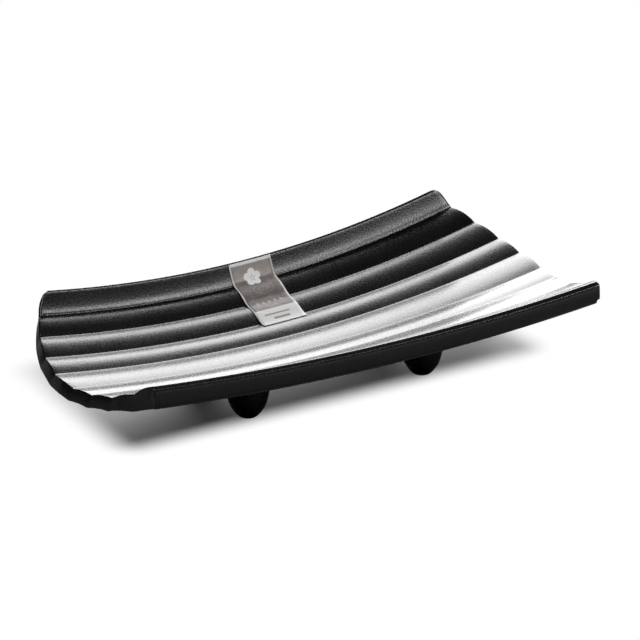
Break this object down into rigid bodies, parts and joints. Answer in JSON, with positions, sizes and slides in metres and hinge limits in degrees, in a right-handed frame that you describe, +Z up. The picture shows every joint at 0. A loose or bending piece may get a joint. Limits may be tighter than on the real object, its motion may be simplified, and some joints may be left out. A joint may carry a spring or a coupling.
{
  "type": "sushi plate",
  "caption": "Long ribbed sushi plate, arched end to end, with a steep back wall and upturned front lip on stub feet.",
  "frame": {"origin": "on the surface the plate stands on, under the middle of its outline", "axes": "+X along the plate, +Y from the front lip to the back wall, +Z up"},
  "size_m": [0.3108, 0.1576, 0.0598],
  "materials": {
    "black_resin": "satin black moulded resin with a fine sparkle",
    "foil_paper": "brown-grey foil with a pale border"
  },
  "bodies": {
    "root": {"plate_body": "black_resin", "foot_front_left": "black_resin", "foot_front_right": "black_resin", "foot_rear_left": "black_resin", "foot_rear_right": "black_resin", "label_sticker": "foil_paper"}
  },
  "joints": []
}
